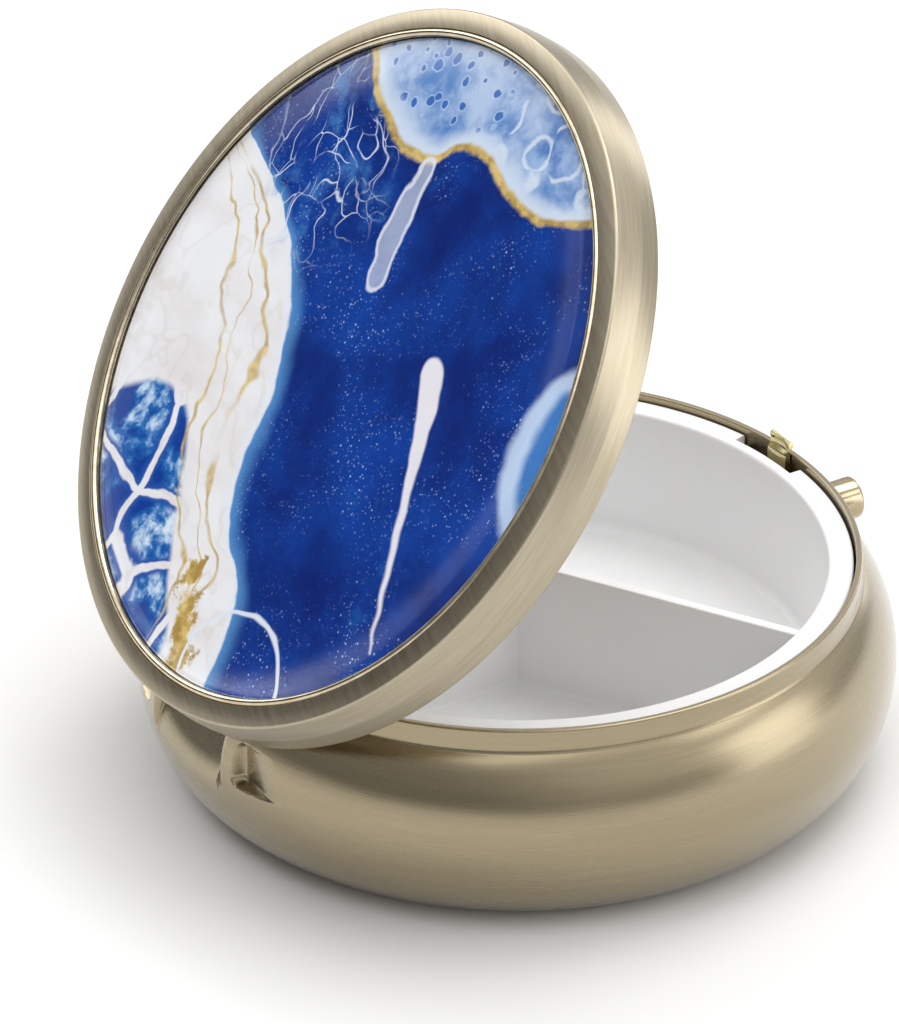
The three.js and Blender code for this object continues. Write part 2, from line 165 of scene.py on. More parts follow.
# ---- Profiles ----


def arc(centre, radii, start, end, steps):
    """Points on an ellipse's arc, in degrees from its first axis."""
    angles = np.radians(np.linspace(start, end, steps + 1))
    (x, y), (across, up) = centre, radii
    return [(x + across * cos(a), y + up * sin(a)) for a in angles]


def rounded(corners, steps=5, closed=True):
    """An outline of (x, y, radius) corners, each rounded to its radius."""
    points = []
    count = len(corners)
    for i, (x, y, radius) in enumerate(corners):
        here = np.array([x, y], float)
        ends = not closed and i in (0, count - 1)
        if radius == 0 or ends:
            points.append((x, y))
            continue
        before = np.array(corners[i - 1][:2], float) - here
        after = np.array(corners[(i + 1) % count][:2], float) - here
        before /= np.linalg.norm(before)
        after /= np.linalg.norm(after)
        half = acos(np.clip(before @ after, -1, 1)) / 2
        reach = radius / tan(half)
        start = here + before * reach
        end = here + after * reach
        inwards = (before + after) / np.linalg.norm(before + after)
        centre = here + inwards * radius / sin(half)
        for k in range(steps + 1):
            blend = start * (1 - k / steps) + end * k / steps - centre
            point = centre + blend / np.linalg.norm(blend) * radius
            points.append((point[0], point[1]))
    return points


# ---- Meshes ----


def add_object(name, data):
    made = bpy.data.objects.new(name, data)
    bpy.context.scene.collection.objects.link(made)
    return made


def mesh_piece(name, vertices, faces):
    """A piece from points in millimetres, with its faces turned outwards."""
    mesh = bpy.data.meshes.new(name)
    mesh.from_pydata([tuple(MM * c for c in v) for v in vertices], [], faces)
    mesh.validate()
    piece = add_object(name, mesh)
    tidy(piece)
    return piece


def tidy(piece):
    """Faces out, no doubled points, smooth shading that keeps real edges."""
    work = bmesh.new()
    work.from_mesh(piece.data)
    bmesh.ops.remove_doubles(work, verts=work.verts, dist=2e-7)
    bmesh.ops.dissolve_degenerate(work, dist=1e-7, edges=work.edges)
    bmesh.ops.recalc_face_normals(work, faces=work.faces)
    work.to_mesh(piece.data)
    work.free()
    piece.data.shade_smooth()
    piece.data.set_sharp_from_angle(angle=radians(38))


def lathe(name, profile, segments=256, along_y=False, centre=(0, 0)):
    """A solid turned about Z, from (radius, height) points, or about a line along Y."""
    vertices, rings = [], []
    for radius, height in profile:
        if radius < 1e-6:
            rings.append([len(vertices)])
            vertices.append((0, 0, height))
            continue
        rings.append(list(range(len(vertices), len(vertices) + segments)))
        for k in range(segments):
            angle = 2 * pi * k / segments
            vertices.append((radius * cos(angle), radius * sin(angle), height))
    faces = []
    open_ended = len(rings[0]) == 1
    for lower, upper in zip(rings, rings[1:] if open_ended else rings[1:] + rings[:1]):
        for k in range(segments):
            after = (k + 1) % segments
            corners = [lower[k % len(lower)], lower[after % len(lower)],
                       upper[after % len(upper)], upper[k % len(upper)]]
            corners = list(dict.fromkeys(corners))
            if len(corners) > 2:
                faces.append(corners)
    if along_y:
        vertices = [(centre[0] + x, z, centre[1] + y) for x, y, z in vertices]
    return mesh_piece(name, vertices, faces)


def loft(name, rings):
    """A solid through rings of (x, y, z) points, closed by its first and last ring."""
    count = len(rings[0])
    vertices = [point for ring in rings for point in ring]
    last = len(vertices) - count
    faces = [list(range(count)), list(range(last, last + count))]
    for start in range(0, last, count):
        for k in range(count):
            after = (k + 1) % count
            faces.append([start + k, start + after, start + count + after, start + count + k])
    return mesh_piece(name, vertices, faces)


def prism(name, outline, place, depth):
    """An outline of (a, b) points pushed through depth; place(a, b, c) gives each point's spot."""
    return loft(name, [[place(a, b, c) for a, b in outline] for c in (-depth / 2, depth / 2)])


def radial_place(azimuth):
    """Spots for a prism whose outline is (radius, height) at an azimuth."""
    angle = radians(azimuth)
    out = (cos(angle), sin(angle))
    return lambda a, b, c: (a * out[0] - c * out[1], a * out[1] + c * out[0], b)


def apply_modifiers(piece):
    """Bakes the piece's modifiers into its mesh."""
    graph = bpy.context.evaluated_depsgraph_get()
    made = bpy.data.meshes.new_from_object(piece.evaluated_get(graph))
    piece.modifiers.clear()
    piece.data = made
    tidy(piece)


def combine(piece, tools, operation):
    """Cuts the tools out of piece or joins them to it, and removes the tools."""
    for tool in tools:
        step = piece.modifiers.new(tool.name, "BOOLEAN")
        step.operation = operation
        step.solver = "EXACT"
        step.object = tool
        bpy.context.view_layer.update()
        apply_modifiers(piece)
        bpy.data.objects.remove(tool)
    return piece


# ---- Base ----


def bulge_radius(z):
    """The bulge's outer radius at a height."""
    rise = (z - BULGE_MIDDLE) / BULGE_MIDDLE
    return FOOT_RADIUS + BULGE_REACH * np.sqrt(np.clip(1 - rise**2, 0, 1))


def soft_min(a, b, blend):
    """The lower of a and b, with the crease between them rounded over about blend."""
    near = np.clip(blend - np.abs(a - b), 0, None) / blend
    return np.minimum(a, b) - near * near * blend / 4


def slot_path(shares):
    """(y, z) points in along the slot's floor, up its back and out along its top, by share."""
    top_y = float(bulge_radius(SLOT_TOP))
    corners = [(RAMP_HEAD[0], SLOT_FLOOR, 0), (SLOT_BACK_Y, SLOT_FLOOR, 0.4),
               (SLOT_BACK_Y, SLOT_TOP, 0.4), (top_y, SLOT_TOP, 0)]
    points = np.array(rounded(corners, closed=False))
    length = np.concatenate([[0], np.cumsum(np.linalg.norm(np.diff(points, axis=0), axis=1))])
    at = np.asarray(shares) * length[-1]
    return np.interp(at, length, points[:, 0]), np.interp(at, length, points[:, 1])


# A cut of this much or more counts back from the slot's full depth.
WHOLE_DEPTH = 100.0


def cheek_cut(x):
    """How far below the skin the slot reaches at a distance x from its middle."""
    corner_start = SLOT_HALF - CHEEK_LEAN - SLOT_CORNER
    if x >= SLOT_HALF + CHEEK_ROUND:
        return 0.0
    if x >= SLOT_HALF:
        return CHEEK_ROUND - sqrt(CHEEK_ROUND**2 - (SLOT_HALF + CHEEK_ROUND - x) ** 2)
    if x > corner_start:
        reach = min(SLOT_CORNER, x - corner_start)
        return WHOLE_DEPTH + sqrt(SLOT_CORNER**2 - reach**2)
    return WHOLE_DEPTH + SLOT_CORNER


def pocket_floor(x, z):
    """The y of a pocket's floor and walls at a spot on the back of the base."""
    half = ((POCKET_FAR - POCKET_NEAR) / 2, (POCKET_TOP - POCKET_BOTTOM) / 2)
    dx = np.abs(np.abs(x) - (POCKET_NEAR + POCKET_FAR) / 2) - half[0] + POCKET_CORNER
    dz = np.abs(z - (POCKET_TOP + POCKET_BOTTOM) / 2) - half[1] + POCKET_CORNER
    outside = np.hypot(np.clip(dx, 0, None), np.clip(dz, 0, None))
    distance = outside + np.minimum(np.maximum(dx, dz), 0) - POCKET_CORNER
    climb = np.clip((distance + POCKET_WALL) / POCKET_WALL, 0, 3)
    return POCKET_FLOOR_Y + climb**2.4


def back_columns():
    """Distances from the middle for the mesh's columns at the back, close together at edges."""
    flat_half = SLOT_HALF - CHEEK_LEAN
    floor = list(np.linspace(0, flat_half - SLOT_CORNER, 12))
    corner = [flat_half - SLOT_CORNER * (1 - sin(radians(a))) for a in (30, 60, 90)]
    turns = (0, 12, 24, 36, 48, 60, 75, 90)
    edge = [SLOT_HALF + CHEEK_ROUND * (1 - cos(radians(a))) for a in turns]
    wall = list(np.linspace(edge[-1] + 0.06, 6.1, 30))
    rest = list(np.linspace(wall[-1] + 0.08, 11.2, 56))
    return floor + corner + edge + wall + rest


def skin_rows():
    """Heights of the mesh's rows on the bulge, from the foot to the shoulder."""
    low = BULGE_MIDDLE * (1 - np.cos(np.radians(np.linspace(0, 80, 26))))
    middle = np.linspace(low[-1] + 0.1, SLOT_FLOOR - 0.1, 56)
    slot = np.linspace(SLOT_FLOOR, SLOT_TOP, 38)
    return np.concatenate([low, middle, slot, [12.7, 12.8, SHOULDER_HEIGHT]])


def bowl_outline():
    """The shell's closed outline as radii and heights, and which points are skin and inner wall."""
    skin_heights = skin_rows()
    rim = rounded([
        (COLLAR_RADIUS, SHOULDER_HEIGHT + 0.25, 0), (COLLAR_RADIUS, RIM_HEIGHT, 0.14),
        (COLLAR_INNER, RIM_HEIGHT, 0.1), (COLLAR_INNER, SHOULDER_HEIGHT + 0.3, 0),
    ], closed=False)
    reach = (BULGE_REACH - WALL, BULGE_MIDDLE - WALL)
    inner_top = degrees(acos((COLLAR_INNER - FOOT_RADIUS) / reach[0]))
    inner = arc((FOOT_RADIUS, BULGE_MIDDLE), reach, inner_top, -90, 26)
    radii = np.concatenate([bulge_radius(skin_heights), [p[0] for p in rim + inner]])
    heights = np.concatenate([skin_heights, [p[1] for p in rim + inner]])
    order = np.arange(len(radii))
    skin = order < len(skin_heights)
    lining = order >= len(skin_heights) + len(rim)
    return radii, heights, skin, lining


def sink_slot(x, y, z, skin):
    """Moves a back column's skin towards the slot's ramp, floor, back and top."""
    (foot_y, foot_z), (head_y, head_z) = RAMP_FOOT, RAMP_HEAD
    ramp = foot_y + (z - foot_z) * (head_y - foot_y) / (head_z - foot_z)
    in_slot = skin & (z >= SLOT_FLOOR - 1e-9) & (z <= SLOT_TOP + 1e-9)
    path_y, path_z = slot_path((z[in_slot] - SLOT_FLOOR) / (SLOT_TOP - SLOT_FLOOR))
    slot_y, slot_z = np.where(skin, soft_min(y, ramp, RAMP_BLEND), y), z.copy()
    slot_y[in_slot] = np.where(path_z > SLOT_TOP - 0.01, np.minimum(path_y, y[in_slot]), path_y)
    slot_z[in_slot] = path_z
    slot_y = np.where(skin & (z > SLOT_TOP), y, slot_y)
    cut = cheek_cut(x)
    if cut == 0:
        return y, z
    full = np.hypot(slot_y - y, slot_z - z)
    if cut >= WHOLE_DEPTH:
        reach = full - (WHOLE_DEPTH + SLOT_CORNER - cut)
    else:
        reach = np.minimum(cut, full)
    share = np.clip(reach / np.maximum(full, 1e-9), 0, 1)
    return (np.where(skin, y + (slot_y - y) * share, y),
            np.where(skin, z + (slot_z - z) * share, z))


def sink_pocket(x, y, z, skin, lining):
    """Presses a back column's skin into the pocket and its lining clear of slot and pocket."""
    near_pocket = skin & (x[0] > SLOT_HALF + 0.3) & (z > 5.2) & (z < 11.3)
    y = np.where(near_pocket, soft_min(y, pocket_floor(x, z), POCKET_WALL), y)
    behind_slot = (lining & (x < SLOT_HALF + 0.5)
                   & (z > SLOT_FLOOR - 0.3) & (z < SLOT_TOP + 0.2))
    y = np.where(behind_slot, np.minimum(y, SLOT_BACK_Y - 0.2), y)
    behind_pocket = (lining & ~behind_slot & (x < POCKET_FAR)
                     & (z > POCKET_BOTTOM - 1) & (z < SLOT_FLOOR + 1.5))
    return np.where(behind_pocket, np.minimum(y, POCKET_FLOOR_Y - 0.35), y)


def base_bowl():
    """The bulged shell. Every column is a closed outline; those at the back dip into the slot."""
    column_radius = 24.5
    back = back_columns()
    back_turns = [asin(x / column_radius) for x in back]
    edge_turn = back_turns[-1]
    blend_end = radians(80)
    front_turns = [edge_turn + (2 * pi - 2 * edge_turn) * k / 330 for k in range(1, 330)]
    radii, heights, skin, lining = bowl_outline()
    grid = []
    for turn in [-a for a in reversed(back_turns[1:])] + back_turns + front_turns:
        wrapped = (turn + pi) % (2 * pi)
        away = abs(wrapped - pi)
        side = 1 if wrapped > pi else -1
        at_back = away <= edge_turn + 1e-9
        if at_back:
            x = np.full(len(radii), column_radius * sin(away))
            angle = np.arcsin(x / radii)
        else:
            share = np.clip((away - edge_turn) / (blend_end - edge_turn), 0, 1)
            weight = 1 - share * share * (3 - 2 * share)
            angle = away + (np.arcsin(back[-1] / radii) - edge_turn) * weight
            x = radii * np.sin(angle)
        y, z = radii * np.cos(angle), heights
        if at_back:
            y, z = sink_slot(x[0], y, z, skin)
            y = sink_pocket(x, y, z, skin, lining)
        grid.append(np.stack([side * x, y, z], axis=1))
    count = len(radii)
    vertices = [tuple(p) for column in grid for p in column]
    faces = []
    for c in range(len(grid)):
        d = (c + 1) % len(grid)
        for r in range(count):
            s = (r + 1) % count
            faces.append([c * count + r, d * count + r, d * count + s, c * count + s])
    bowl = mesh_piece("base_bowl", vertices, faces)
    mouth, bore = BUTTON_RADIUS + 0.45, BUTTON_RADIUS + 0.1
    hole = lathe("button_hole", [
        (0, -27.5), (mouth, -27.5), (mouth, -24.6), (BUTTON_RADIUS + 0.16, -24.2),
        (bore, -23.9), (bore, -21.5), (0, -21.5),
    ], 64, along_y=True, centre=(0, BUTTON_Z))
    return combine(bowl, [hole], "DIFFERENCE")


def foot_plate():
    """The flat disc that closes the base."""
    radius = FOOT_RADIUS - 0.15
    profile = rounded([
        (0, 0, 0), (radius, 0, 0.15), (radius, PLATE_THICKNESS, 0.05), (0, PLATE_THICKNESS, 0),
    ], closed=False)
    return lathe("foot_plate", profile)


# ---- Hinge ----


def rod_along_x(name, x0, x1):
    """A hinge knuckle with rounded ends and its bore."""
    profile = rounded([
        (PIN_BORE, x0, 0), (KNUCKLE_RADIUS, x0, 0.15),
        (KNUCKLE_RADIUS, x1, 0.15), (PIN_BORE, x1, 0),
    ])
    rod = lathe(name, profile, 64)
    to_hinge = Matrix.Translation((0, HINGE_Y * MM, HINGE_Z * MM))
    rod.data.transform(to_hinge @ Matrix.Rotation(pi / 2, 4, "Y"))
    return rod


def base_knuckles():
    """Two knuckles on a thin plate that lies on the slot's floor."""
    leaf_outline = rounded([(20.7, 9.3, 0), (22.9, 9.3, 0.08), (22.9, 9.5, 0.08), (20.7, 9.5, 0)])
    foot_outline = rounded([
        (20.75, 9.35, 0), (22.85, 9.35, 0.1), (23.2, 10.6, 0.1),
        (22.4, 10.4, 0), (21.5, 10.4, 0), (20.75, 10.5, 0),
    ])
    inner, outer = BASE_KNUCKLE
    leaf = prism("base_knuckles", leaf_outline, lambda a, b, c: (c, a, b), 2 * outer)
    parts = []
    for side in (-1, 1):
        x0, x1 = sorted((side * inner, side * outer))
        middle = (x0 + x1) / 2
        parts.append(prism(f"knuckle_foot_{side}", foot_outline,
                           lambda a, b, c, m=middle: (m + c, a, b), x1 - x0 - KNUCKLE_GAP))
        parts.append(rod_along_x(f"knuckle_{side}", x0, x1))
    return combine(leaf, parts, "UNION")


def lid_barrel():
    """The lid's knuckle and the lug that carries it, made with the lid shut."""
    lug_outline = rounded([
        (22.5, 11.75, 0), (23.1, 11.0, 0.15), (24.0, 12.5, 0.2), (24.0, 14.3, 0.05),
        (23.15, 14.3, 0.05), (23.15, 12.35, 0.2),
    ])
    half = LID_KNUCKLE_HALF
    lug = prism("lid_barrel", lug_outline, lambda a, b, c: (c, a, b), 2 * half - KNUCKLE_GAP)
    return combine(lug, [rod_along_x("lid_knuckle", -half, half)], "UNION")


# ---- Tray ----


def divider(azimuth):
    """A wall from the middle to the cup's side, flared a little where it meets the floor."""
    flare = 0.28
    crown = 0.12
    foot = DIVIDER_HALF + 0.06
    right = arc((DIVIDER_HALF - crown, DIVIDER_TOP - crown), (crown, crown), 90, 0, 4)
    right.append((foot, TRAY_FLOOR + flare))
    right += arc((foot + flare, TRAY_FLOOR + flare), (flare, flare), 200, 265, 4)
    right.append((foot + flare, TRAY_FLOOR - 0.2))
    outline = right + [(-x, z) for x, z in reversed(right)]
    length = TRAY_INNER + 0.12
    along = radians(azimuth)

    def place(a, b, c):
        out = length / 2 + c
        return (out * cos(along) - a * sin(along),
                out * sin(along) + a * cos(along), b)

    return prism(f"divider_{azimuth}", outline, place, length)


def tray_moulding():
    """The divided cup with its flange, its flat behind the hinge and its notch for the hook."""
    foot = TRAY_INNER - TRAY_DRAFT
    under = TRAY_TOP - TRAY_FLANGE
    profile = rounded([
        (0, TRAY_UNDER, 0), (foot - 0.2, TRAY_UNDER, 0.2), (foot - 0.2, TRAY_FOOT, 0.1),
        (foot + TRAY_WALL, TRAY_FOOT, 0.2), (TRAY_INNER + TRAY_WALL, under, 0.2),
        (TRAY_RADIUS, under, 0.1), (TRAY_RADIUS, TRAY_TOP, 0.16), (TRAY_INNER, TRAY_TOP, 0.28),
        (foot, TRAY_FLOOR, 0.7), (0, TRAY_FLOOR, 0),
    ], steps=7, closed=False)
    tray = lathe("tray_moulding", profile, 288)
    flat_z = (under + TRAY_FOOT + 0.5) / 2
    flat_end = FLAT_HALF - FLAT_CHAMFER
    flat = prism("hinge_flat", [
        (-FLAT_HALF, FLAT_Y - FLAT_WALL), (FLAT_HALF, FLAT_Y - FLAT_WALL),
        (flat_end, FLAT_Y + 0.1), (-flat_end, FLAT_Y + 0.1),
    ], lambda a, b, c: (a, b, flat_z + c), under - TRAY_FOOT)
    combine(tray, [flat] + [divider(a) for a in DIVIDER_ANGLES], "UNION")
    room_z = 6.5
    room_half = HINGE_ROOM_HALF
    hinge_room = prism("hinge_room", [
        (-room_half, FLAT_Y), (room_half, FLAT_Y), (room_half, CUT_REACH), (-room_half, CUT_REACH),
    ], lambda a, b, c: (a, b, room_z + c), 2 * (under - 0.05 - room_z))
    first, last = (radians(a) for a in NOTCH_ANGLES)
    span = [first + (last - first) * k / 12 for k in range(13)]
    edge = [(NOTCH_RADIUS * cos(a), NOTCH_RADIUS * sin(a)) for a in span]
    edge += [(CUT_REACH * cos(a), CUT_REACH * sin(a)) for a in reversed(span)]
    notch_z = 12.4
    depth = 2 * (notch_z - NOTCH_FLOOR)
    notch = prism("latch_room", edge, lambda a, b, c: (a, b, notch_z + c), depth)
    return combine(tray, [hinge_room, notch], "DIFFERENCE")


# ---- Lid ----


def lid_cover():
    """Skirt, a side that leans in a little, a crisp edge, a crowned bezel, seat and floor."""
    bezel = []
    for share in np.linspace(1, 0, 9):
        radius = SEAT_RADIUS + 0.02 + share * (LID_EDGE_RADIUS - 0.25 - SEAT_RADIUS)
        drop = BEZEL_DROP * (0.3 * share + 0.7 * share**2.2)
        bezel.append((radius, LID_TOP - drop, 0))
    profile = rounded([
        (0, LID_UNDER, 0), (LID_INNER, LID_UNDER, 0.3), (LID_INNER, LID_BOTTOM, 0.14),
        (LID_RADIUS, LID_BOTTOM, 0.16), (LID_RADIUS, LID_BOTTOM + 1.6, 2.0),
        (LID_EDGE_RADIUS, LID_TOP - BEZEL_DROP - 0.05, 0.2), *bezel,
        (SEAT_RADIUS, LID_TOP - 0.03, 0), (SEAT_RADIUS, LID_FLOOR, 0), (0, LID_FLOOR, 0),
    ], steps=6, closed=False)
    return lathe("lid_cover", profile, 320)


def glass_bead():
    """The half-round bead between the bezel and the glass."""
    inner, outer = BEAD_RADII
    half = (outer - inner) / 2
    profile = [(inner, LID_FLOOR + 0.05), (outer, LID_FLOOR + 0.05)]
    profile += arc((inner + half, BEAD_TOP - half), (half, half), 0, 180, 12)
    return lathe("glass_bead", profile, 320)


def lid_glass():
    """A low dome that turns down towards its edge."""
    round_edge = 0.12
    fall = (0.1, 0.58)
    reach = GLASS_RADIUS - round_edge
    edge = GLASS_CROWN - sum(fall)
    profile = [
        (0, GLASS_BOTTOM), (GLASS_RADIUS - 0.05, GLASS_BOTTOM), (GLASS_RADIUS, GLASS_BOTTOM + 0.05),
    ]
    profile += arc((reach, edge - round_edge), (round_edge, round_edge), 0, 78, 5)
    for share in (1, 0.985, 0.97, 0.95, 0.925, 0.9, 0.87, 0.83, 0.78, 0.7, 0.6, 0.45, 0.3, 0.15, 0):
        height = GLASS_CROWN - fall[0] * share**2 - fall[1] * share**8.5
        profile.append(((reach - 0.02) * share, height))
    return lathe("lid_glass", profile, 256)


def lid_print():
    """The printed card under the glass."""
    low, high = PRINT_HEIGHTS
    return lathe("lid_print", [(0, low), (PRINT_RADIUS, low), (PRINT_RADIUS, high), (0, high)], 256)


def catch_tab():
    """An L-shaped tab that reaches in under the hook's head."""
    outline = rounded([
        (22.15, 14.58, 0.06), (22.78, 14.58, 0.1), (22.78, 15.5, 0.04), (22.5, 15.5, 0.04),
        (22.5, 14.78, 0.08), (22.15, 14.78, 0.06),
    ])
    return prism("catch_tab", outline, radial_place(LATCH_ANGLE), 2 * CATCH_HALF)


# ---- Button and latch ----


def button_cap():
    """A polished rod with a rounded, barely domed end."""
    face = [(0, BUTTON_FACE), (0.5, BUTTON_FACE + 0.004), (1.0, BUTTON_FACE + 0.02)]
    edge = arc((BUTTON_RADIUS - 0.32, BUTTON_FACE + 0.36), (0.32, 0.32), -84, 0, 8)
    stem = rounded([
        (BUTTON_RADIUS, BUTTON_HEAD_END, 0.05), (STEM_RADIUS, BUTTON_HEAD_END, 0.05),
        (STEM_RADIUS, STEM_END, 0.05), (NECK_RADIUS, STEM_END, 0.05),
        (NECK_RADIUS, BUTTON_TIP, 0.1), (0, BUTTON_TIP, 0),
    ])
    return lathe("button_cap", face + edge + stem, 96, along_y=True, centre=(0, BUTTON_Z))


def hook_section(across):
    """The hook's outline at a share across its width, -1 to 1; its head is dished in the middle."""
    dish = 0.2 * (1 - across * across)
    peak = 15.46 + 0.1 * across
    return rounded([
        (21.86, 10.6, 0.06), (22.05, 10.6, 0.06), (22.05, 14.76, 0.2), (22.33, 15.0, 0.1),
        (22.35, 15.2, 0.1), (22.12, peak, 0.12), (21.88 + 0.4 * dish, peak, 0.08),
        (21.8 + 0.9 * dish, 15.3, 0.1),
        (21.92 + dish, 15.0, 0.25), (21.86 + dish, 14.7, 0.25), (21.66 + 0.3 * dish, 14.42, 0.2),
        (21.62, 14.1, 0.3), (21.62, 12.18, 0.1), (21.86, 11.98, 0.1),
    ])


def hook_plate():
    """The hook: a bent strip with a rolled step and a dished head that leans out over the rim."""
    place = radial_place(LATCH_ANGLE)
    rings = []
    for share in np.linspace(-1, 1, 25):
        rings.append([place(r, z, share * HOOK_HALF) for r, z in hook_section(share)])
    hook = loft("hook_plate", rings)
    soft = hook.modifiers.new("soft_edges", "BEVEL")
    soft.width = 0.07 * MM
    soft.segments = 3
    soft.limit_method = "ANGLE"
    soft.angle_limit = radians(60)
    apply_modifiers(hook)
    return hook


# ---- Materials ----


class Paint:
    """Short names for building the nodes of one material or world."""

    def __init__(self, owner):
        self.owner = owner
        owner.use_nodes = True
        self.tree = owner.node_tree
        self.tree.nodes.clear()

    def node(self, kind, inputs=(), **settings):
        made = self.tree.nodes.new("ShaderNode" + kind)
        for key, value in settings.items():
            setattr(made, key, value)
        for key, value in dict(inputs).items():
            self.give(made.inputs[key], value)
        return made

    def give(self, socket, value):
        if isinstance(value, bpy.types.NodeSocket):
            self.tree.links.new(value, socket)
        elif isinstance(value, (int, float)):
            socket.default_value = value
        elif socket.type == "RGBA":
            socket.default_value = (*value, 1)
        else:
            socket.default_value = value

    def math(self, operation, *values, clamp=False):
        made = self.node("Math", operation=operation, use_clamp=clamp)
        for k, value in enumerate(values):
            self.give(made.inputs[k], value)
        return made.outputs[0]

    def plus(self, a, b, clamp=False):
        return self.math("ADD", a, b, clamp=clamp)

    def minus(self, a, b):
        return self.math("SUBTRACT", a, b)

    def times(self, a, b):
        return self.math("MULTIPLY", a, b)

    def size(self, a):
        """A number without its sign."""
        return self.math("ABSOLUTE", a)

    def vector(self, operation, *values):
        made = self.node("VectorMath", operation=operation)
        for k, value in enumerate(values):
            if operation == "SCALE" and k == 1:
                self.give(made.inputs["Scale"], value)
            else:
                self.give(made.inputs[k], value)
        is_number = operation in ("DOT_PRODUCT", "DISTANCE", "LENGTH")
        return made.outputs["Value" if is_number else "Vector"]

    def point(self):
        """The spot on the piece in its own frame, in millimetres."""
        return self.vector("SCALE", self.node("TexCoord").outputs["Object"], 1 / MM)

    def split(self, vector):
        made = self.node("SeparateXYZ", {0: vector})
        return made.outputs[0], made.outputs[1], made.outputs[2]

    def join(self, x, y, z):
        return self.node("CombineXYZ", {0: x, 1: y, 2: z}).outputs[0]

    def noise(self, vector, scale, detail=3.0, roughness=0.5, w=None, colour=False):
        inputs = {"Vector": vector, "Scale": scale, "Detail": detail, "Roughness": roughness}
        if w is not None:
            inputs["W"] = w
        made = self.node("TexNoise", inputs, noise_dimensions="3D" if w is None else "4D")
        return made.outputs["Color" if colour else 0]

    def cells(self, vector, scale):
        """How far a spot is from the nearest edge between cells."""
        inputs = {"Vector": vector, "Scale": scale}
        return self.node("TexVoronoi", inputs, feature="DISTANCE_TO_EDGE").outputs["Distance"]

    def step(self, value, low, high):
        """0 below low and 1 above high, smooth between; low above high turns it round."""
        inputs = {"Value": value, "From Min": low, "From Max": high}
        return self.node("MapRange", inputs, interpolation_type="SMOOTHSTEP").outputs[0]

    def spread(self, value, low, high):
        """A 0 to 1 value spread linearly from low to high."""
        return self.node("MapRange", {"Value": value, "To Min": low, "To Max": high}).outputs[0]

    def mix(self, share, a, b):
        made = self.node("Mix", {0: share}, data_type="RGBA")
        self.give(made.inputs[6], a)
        self.give(made.inputs[7], b)
        return made.outputs[2]

    def bump(self, height, strength, distance):
        """A normal for marks as deep as distance, in millimetres."""
        inputs = {"Height": height, "Strength": strength, "Distance": distance * MM}
        return self.node("Bump", inputs).outputs[0]

    def surface(self, inputs):
        """Finishes a material with one shader, and returns the material."""
        shader = self.node("BsdfPrincipled", inputs)
        self.tree.links.new(shader.outputs[0], self.node("OutputMaterial").inputs[0])
        return self.owner


def new_paint(name):
    return Paint(bpy.data.materials.new(name))


def streaks(paint, long_scale, fine_scale):
    """Fine marks that run round the Z axis, as a turned and brushed piece has."""
    x, y, z = paint.split(paint.point())
    squared = paint.plus(paint.times(x, x), paint.times(y, y))
    radius = paint.math("SQRT", squared)
    around = paint.join(paint.times(paint.math("DIVIDE", x, radius), long_scale),
                        paint.times(paint.math("DIVIDE", y, radius), long_scale),
                        paint.times(z, fine_scale))
    return paint.noise(around, 1.0, 4.0, 0.6, w=paint.times(radius, fine_scale))


def turned_metal(name, tint, deep, rough, grain, coat):
    """Champagne plating with faint marks round the axis, slow changes of gloss and a lacquer."""
    paint = new_paint(name)
    fine = streaks(paint, 5.0, 7.0)
    broad = streaks(paint, 3.0, 1.6)
    slow = paint.noise(paint.point(), 0.07, 2.0)
    tone = paint.plus(paint.times(fine, 0.5), paint.times(broad, 0.5))
    colour = paint.mix(paint.step(tone, 0.25, 0.75), deep, tint)
    marks = paint.plus(paint.times(tone, 0.6), paint.times(slow, 0.4))
    tangent = paint.node("Tangent", direction_type="RADIAL", axis="Z").outputs[0]
    return paint.surface({
        "Base Color": colour, "Metallic": 1.0, "Roughness": paint.spread(marks, rough[0], rough[1]),
        "Anisotropic": 0.3, "Tangent": tangent, "Normal": paint.bump(tone, grain, 0.02),
        "Coat Weight": coat, "Coat Roughness": 0.26,
    })


def lid_metal():
    """The lid's plating: straight brushing across the bezel, fine marks round its side."""
    paint = new_paint("lid_plating")
    x, y, z = paint.split(paint.point())
    across = paint.plus(paint.times(x, 0.42), paint.times(y, 0.91))
    along = paint.minus(paint.times(x, 0.91), paint.times(y, 0.42))
    straight = paint.join(paint.times(across, 3.4), paint.times(along, 0.28), 0.0)
    bezel_marks = paint.noise(straight, 1.0, 4.0, 0.62)
    side_marks = streaks(paint, 6.0, 6.0)
    on_bezel = paint.step(z, LID_TOP - 0.3, LID_TOP - 0.1)
    tone = paint.node("Mix", {0: on_bezel, 2: side_marks, 3: bezel_marks}).outputs[0]
    shade = paint.step(tone, 0.25, 0.75)
    colour = paint.mix(shade, (0.39, 0.335, 0.235), (0.47, 0.415, 0.315))
    slow = paint.noise(paint.point(), 0.06, 2.0)
    marks = paint.plus(paint.times(tone, 0.75), paint.times(slow, 0.25))
    depth = paint.spread(on_bezel, 0.07, 0.1)
    return paint.surface({
        "Base Color": colour, "Metallic": 1.0, "Roughness": paint.spread(marks, 0.24, 0.40),
        "Normal": paint.bump(tone, depth, 0.02), "Coat Weight": 0.06, "Coat Roughness": 0.22,
    })


def polished_metal(name, tint, deep, rough):
    """Plating polished bright, with faint wiping marks and specks."""
    paint = new_paint(name)
    smear = paint.noise(paint.point(), 0.9, 3.0, 0.6)
    specks = paint.noise(paint.point(), 9.0, 2.0, 0.7)
    tone = paint.plus(paint.times(smear, 0.7), paint.times(specks, 0.3))
    colour = paint.mix(paint.step(tone, 0.35, 0.65), deep, tint)
    return paint.surface({
        "Base Color": colour, "Metallic": 1.0, "Roughness": paint.spread(tone, rough[0], rough[1]),
        "Normal": paint.bump(specks, 0.1, 0.01),
    })


